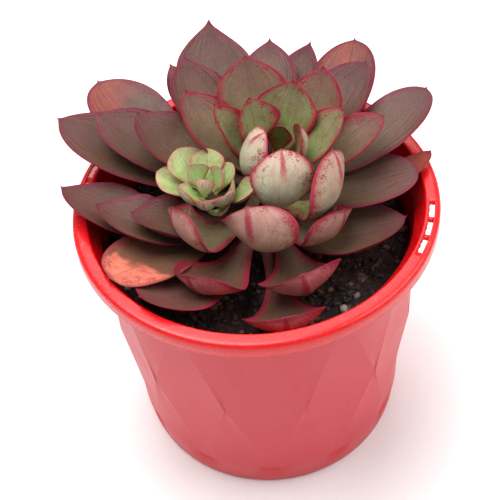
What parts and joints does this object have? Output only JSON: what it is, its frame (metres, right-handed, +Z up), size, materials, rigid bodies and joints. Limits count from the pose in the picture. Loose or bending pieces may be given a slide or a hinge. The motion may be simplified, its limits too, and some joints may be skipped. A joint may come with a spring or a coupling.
{
  "type": "potted live plant",
  "caption": "Rosette of fleshy pointed leaves with a small side rosette, growing from potting mix in a tapered, faceted, round plastic nursery pot with a rolled rim.",
  "frame": {"origin": "middle of the pot's base, on the surface it stands on", "axes": "+Z up along the pot's axis; the front, the side seen, is -Y; +X is to the viewer's right"},
  "size_m": [0.1354, 0.1319, 0.143],
  "materials": {
    "pot": "gloss",
    "potting_mix": "matte",
    "stem": "matte",
    "leaf_dark": "satin",
    "leaf_rose": "satin",
    "leaf_pale": "satin",
    "leaf_offset": "satin",
    "leaf_withered": "matte"
  },
  "bodies": {
    "root": {"pot": "pot", "potting_mix": "potting_mix", "stem": "stem", "lower_leaf_front": "leaf_rose", "lower_leaf_front_right": "leaf_rose", "lower_leaf_front_left": "leaf_rose", "lower_leaf_left_upper": "leaf_rose", "withered_leaf_left": "leaf_withered", "outer_leaf_left_low": "leaf_dark", "outer_leaf_left_mid": "leaf_dark", "outer_leaf_left_near": "leaf_dark", "outer_leaf_right_low": "leaf_dark", "outer_leaf_right": "leaf_dark", "curled_leaf_right": "leaf_withered", "outer_leaf_right_back": "leaf_dark", "outer_leaf_back_right": "leaf_dark", "outer_leaf_back_right_upper": "leaf_dark", "outer_leaf_back_mid": "leaf_dark", "outer_leaf_back": "leaf_dark", "outer_leaf_back_left": "leaf_dark", "outer_leaf_left_back": "leaf_dark", "outer_leaf_far_left": "leaf_dark", "outer_leaf_left_back_mid": "leaf_dark", "outer_leaf_left_back_near": "leaf_dark", "outer_leaf_left_upper": "leaf_dark", "outer_leaf_left_upper_rear": "leaf_dark", "middle_leaf_back": "leaf_rose", "middle_leaf_back_right": "leaf_rose", "middle_leaf_right": "leaf_rose", "middle_leaf_left": "leaf_rose", "middle_leaf_front_left": "leaf_rose", "middle_leaf_front": "leaf_rose", "middle_leaf_front_right": "leaf_rose", "inner_leaf_back": "leaf_pale", "inner_leaf_right_back": "leaf_pale", "inner_leaf_left_back": "leaf_pale", "inner_leaf_left": "leaf_pale", "inner_leaf_front_right": "leaf_pale", "bud_leaf_front": "leaf_pale", "bud_leaf_left": "leaf_pale", "bud_leaf_right": "leaf_pale", "bud_leaf_back": "leaf_pale", "offset_leaf_left": "leaf_offset", "offset_leaf_left_back": "leaf_offset", "offset_leaf_back": "leaf_offset", "offset_leaf_back_right": "leaf_offset", "offset_leaf_rear": "leaf_offset", "offset_leaf_front_left": "leaf_offset", "offset_leaf_front": "leaf_offset", "offset_leaf_front_right": "leaf_offset", "offset_leaf_right": "leaf_offset", "offset_leaf_under": "leaf_offset", "offset_leaf_inner_left": "leaf_offset", "offset_leaf_inner_right": "leaf_offset", "offset_bud": "leaf_offset"}
  },
  "joints": []
}
